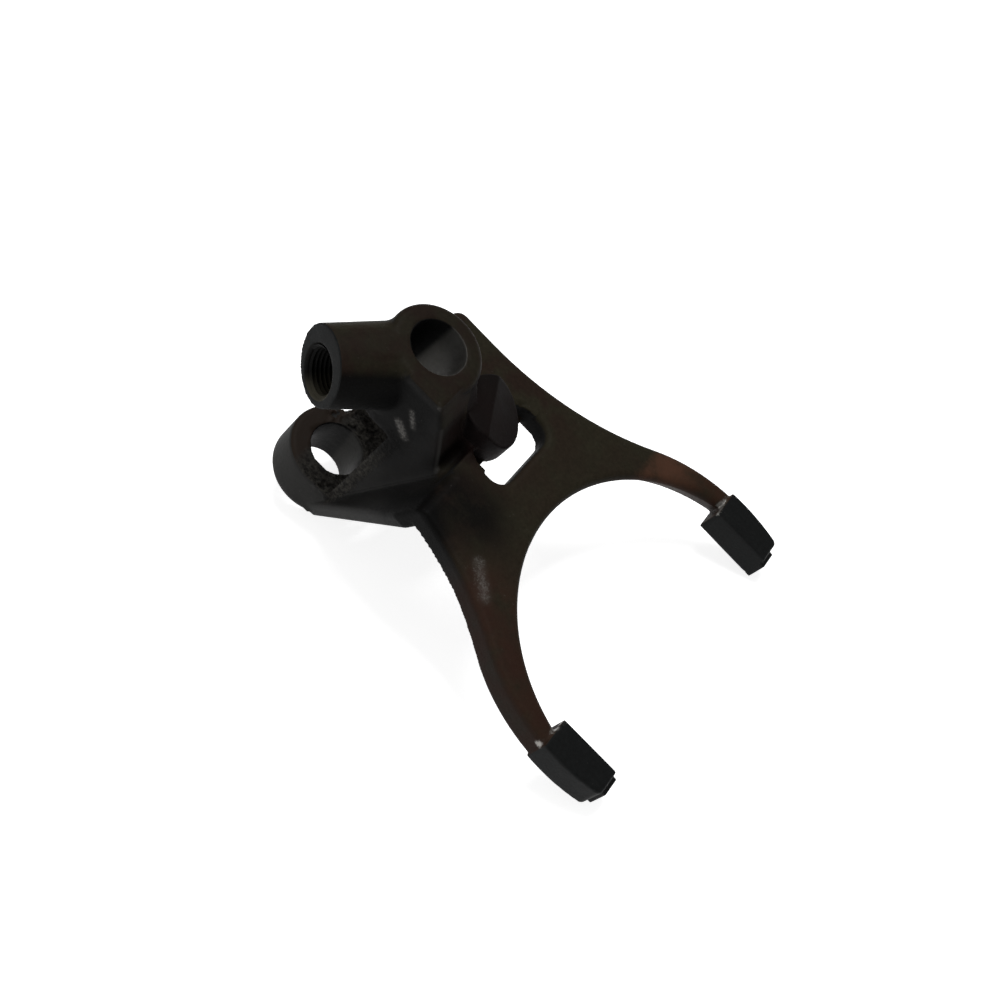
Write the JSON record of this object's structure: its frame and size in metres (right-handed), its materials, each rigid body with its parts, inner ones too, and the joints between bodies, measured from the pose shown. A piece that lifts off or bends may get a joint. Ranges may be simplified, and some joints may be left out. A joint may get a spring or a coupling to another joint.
{
  "type": "selector fork",
  "caption": "Gearbox selector fork: a hub and a lug on one rail bore, a threaded detent boss, and a windowed flange with curved arms ending in machined pads.",
  "frame": {"origin": "centre of the rail bore at the hub's upper face", "axes": "+Z along the rail out of the hub's upper face, +X from the rail towards the middle of the sleeve, so the arms lie at +X"},
  "size_m": [0.1592, 0.1278, 0.092],
  "materials": {
    "dark_iron": "oxidised casting skin, machined at the bore, the boss end and the pads"
  },
  "bodies": {
    "root": {"selector_fork": "dark_iron"}
  },
  "joints": []
}
